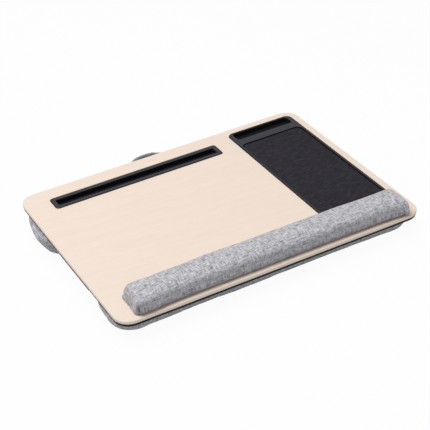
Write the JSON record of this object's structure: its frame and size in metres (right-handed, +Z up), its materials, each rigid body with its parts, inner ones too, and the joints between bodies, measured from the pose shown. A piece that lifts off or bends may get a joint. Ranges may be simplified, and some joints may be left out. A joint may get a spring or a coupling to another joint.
{
  "type": "lap desk",
  "caption": "Lap desk with a wooden top, tablet slot, mouse pad tray, padded wrist rest and carry handle on two stuffed fabric bolsters.",
  "frame": {"origin": "centre of the bounding box, on the surface that the two bolsters stand on", "axes": "+X along the desk's long side to the user's right, +Y towards its rear edge, +Z up"},
  "size_m": [0.6, 0.4812, 0.0763],
  "materials": {
    "birch_laminate": "satin",
    "black_plastic": "matte",
    "charcoal_plastic": "satin",
    "leatherette": "matte",
    "foam": "matte",
    "grey_linen": "matte",
    "beads": "matte",
    "fibreboard": "matte",
    "tape": "matte",
    "steel": "satin"
  },
  "bodies": {
    "desk": {"top_board": "birch_laminate", "base_pan": "black_plastic", "board_screw_1": "steel", "board_screw_2": "steel", "board_screw_3": "steel", "board_screw_4": "steel", "board_screw_5": "steel", "board_screw_6": "steel", "board_screw_7": "steel", "board_screw_8": "steel", "board_screw_9": "steel", "board_screw_10": "steel", "slot_insert": "charcoal_plastic", "pad_tray": "charcoal_plastic", "mouse_pad_foam": "foam", "mouse_pad_sheet": "leatherette", "wrist_rest_cover": "grey_linen", "wrist_rest_foam": "foam", "wrist_rest_plate": "fibreboard", "wrist_rest_tape": "tape", "rear_cushion_cover": "grey_linen", "rear_cushion_fill": "beads", "rear_cushion_board": "fibreboard", "rear_cushion_screw_1": "steel", "rear_cushion_screw_2": "steel", "rear_cushion_screw_3": "steel", "rear_cushion_screw_4": "steel", "front_cushion_cover": "grey_linen", "front_cushion_fill": "beads", "front_cushion_board": "fibreboard", "front_cushion_screw_1": "steel", "front_cushion_screw_2": "steel", "front_cushion_screw_3": "steel", "front_cushion_screw_4": "steel", "centre_fabric": "grey_linen", "handle_tab_left": "grey_linen", "handle_tab_right": "grey_linen", "handle_screw_1": "steel", "handle_screw_2": "steel"},
    "handle": {"handle_loop": "grey_linen"}
  },
  "joints": [
    {"name": "handle_swing", "type": "hinge", "parent": "desk", "child": "handle", "pos_m": [-0.019, 0.20163, 0.06771], "axis": [1, 0, 0], "range_deg": [-58, 97], "stiffness_Nm_per_rad": 0.01, "springref_deg": 1.89}
  ]
}
